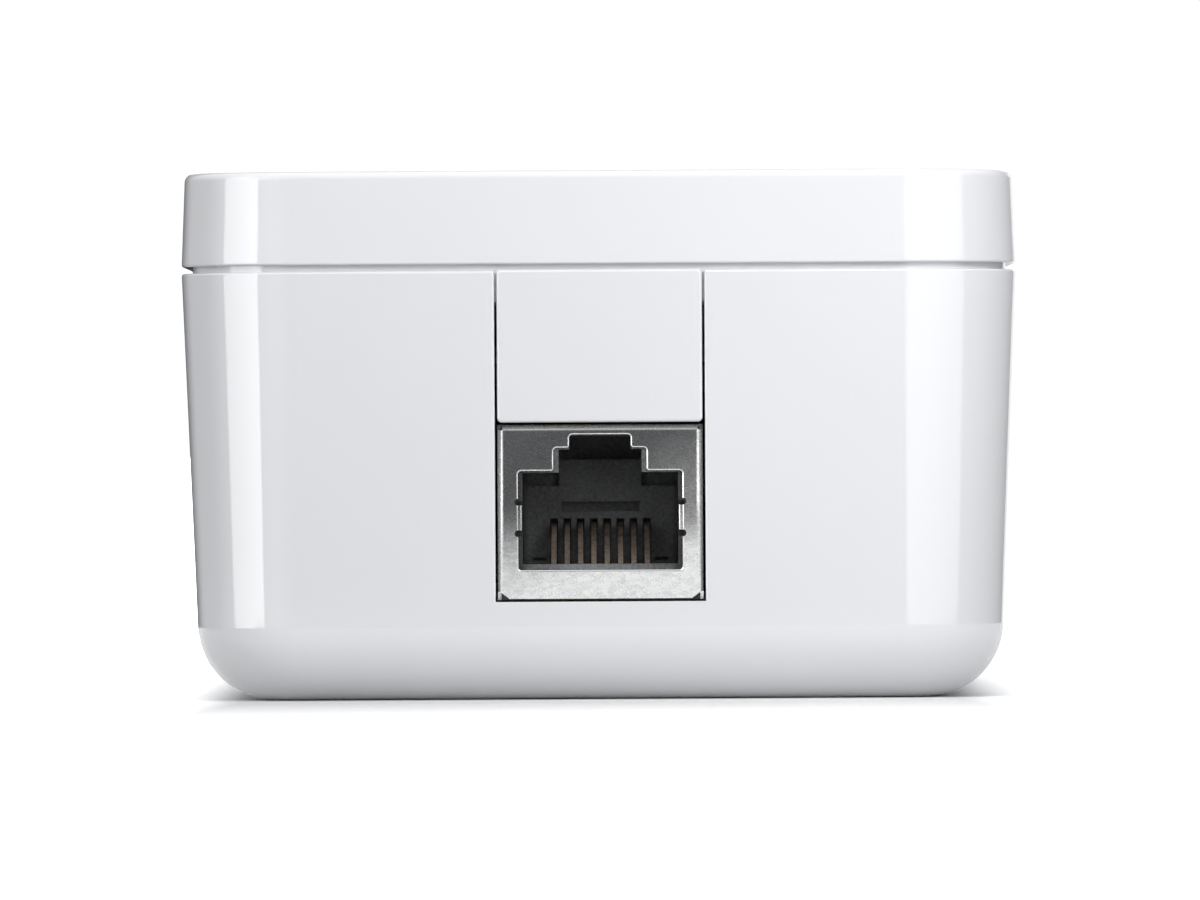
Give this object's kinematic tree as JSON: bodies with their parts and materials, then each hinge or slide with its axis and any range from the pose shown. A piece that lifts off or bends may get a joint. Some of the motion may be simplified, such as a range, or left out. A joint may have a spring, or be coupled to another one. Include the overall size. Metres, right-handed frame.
{
  "type": "powerline adapter",
  "caption": "White powerline adapter with a rounded front, shadow-gap back cover, shielded RJ45 jack, folding mains plug and pair button.",
  "frame": {"origin": "on the plane of the front face, under the middle of the body as it lies on that face", "axes": "+X right when looking at the jack end, +Y from the jack end to the far end, +Z from the front face to the wall-side back face"},
  "size_m": [0.0638, 0.095, 0.0402],
  "materials": {
    "case_white": "high gloss moulded white",
    "cover_white": "high gloss moulded white",
    "button_white": "satin white",
    "plug_plastic": "satin white insulating plastic",
    "inner_plastic": "matt natural plastic",
    "clear_plastic": "frosted clear plastic",
    "label_foil": "blank satin foil",
    "nickel_blade": "nickel plated",
    "spring_brass": "tin bronze spring",
    "spring_steel": "spring steel",
    "screw_steel": "zinc plated",
    "shield_tin": "tin plated sheet, fine grain",
    "jack_black": "matt black glass-filled nylon",
    "contact_gold": "gold plated bronze wire",
    "foam_black": "conductive foam",
    "pcb_green": "solder mask",
    "chip_black": "moulded epoxy",
    "heat_sink_alu": "black anodised",
    "thermal_grey": "soft pad",
    "crystal_can": "nickel can",
    "ferrite_grey": "sintered ferrite",
    "winding_copper": "enamelled copper",
    "tape_yellow": "polyester tape",
    "capacitor_sleeve": "shrink sleeve",
    "film_yellow": "boxed film capacitor",
    "disc_blue": "epoxy dip",
    "ceramic_tan": "ceramic chip",
    "fuse_body": "ceramic tube",
    "sheet_clear": "polyester film",
    "led_body": "moulded lamp"
  },
  "bodies": {
    "housing": {"front_shell": "case_white", "back_cover": "cover_white", "rating_label": "label_foil", "case_screws": "screw_steel", "plug_retainer": "inner_plastic", "retainer_screws": "screw_steel", "detent_spring": "spring_steel", "line_contact": "spring_brass", "neutral_contact": "spring_brass", "jack_shield": "shield_tin", "jack_insulator": "jack_black", "jack_contacts": "contact_gold", "jack_contact_carrier": "jack_black", "shield_gasket": "foam_black", "logic_board": "pcb_green", "board_screws": "screw_steel", "powerline_processor": "chip_black", "thermal_pad": "thermal_grey", "heat_sink": "heat_sink_alu", "memory_chip": "chip_black", "flash_chip": "chip_black", "ethernet_chip": "chip_black", "lan_transformer": "chip_black", "line_driver_chip": "chip_black", "crystals": "crystal_can", "buck_inductor": "ferrite_grey", "regulator_chips": "chip_black", "ceramic_capacitors": "ceramic_tan", "chip_resistors": "chip_black", "status_leds": "led_body", "light_guide": "clear_plastic", "tact_switch": "chip_black", "board_header": "chip_black", "header_pins": "spring_brass", "power_board": "pcb_green", "insulation_sheet": "sheet_clear", "fuse": "fuse_body", "varistor": "disc_blue", "x2_capacitor": "film_yellow", "line_choke_core": "ferrite_grey", "line_choke_winding": "winding_copper", "bridge_rectifier": "chip_black", "bulk_capacitors": "capacitor_sleeve", "transformer_core": "ferrite_grey", "transformer_bobbin": "chip_black", "transformer_winding": "tape_yellow", "switching_controller": "chip_black", "y_capacitor": "disc_blue", "optocoupler": "chip_black", "output_diode": "chip_black", "output_capacitors": "capacitor_sleeve", "output_inductor": "ferrite_grey", "coupling_transformer": "chip_black", "coupling_capacitor": "film_yellow"},
    "plug": {"plug_barrel": "plug_plastic", "plug_blade_left": "nickel_blade", "plug_blade_right": "nickel_blade"},
    "button": {"pair_button": "button_white"},
    "plunger": {"switch_plunger": "button_white"}
  },
  "joints": [
    {"name": "plug_fold", "type": "hinge", "parent": "housing", "child": "plug", "pos_m": [0, 0.024, 0.0357], "axis": [-1, 0, 0], "range_deg": [0, 90]},
    {"name": "button_press", "type": "slide", "parent": "housing", "child": "button", "axis": [1, 0, 0], "range_m": [0, 0.0005], "stiffness_N_per_m": 1500, "springref_m": -0.0004},
    {"name": "plunger_press", "type": "slide", "parent": "housing", "child": "plunger", "axis": [1, 0, 0], "range_m": [0, 0.0005]}
  ],
  "couplings": [
    {"joint": "plunger_press", "follows": "button_press", "ratio": 1}
  ]
}
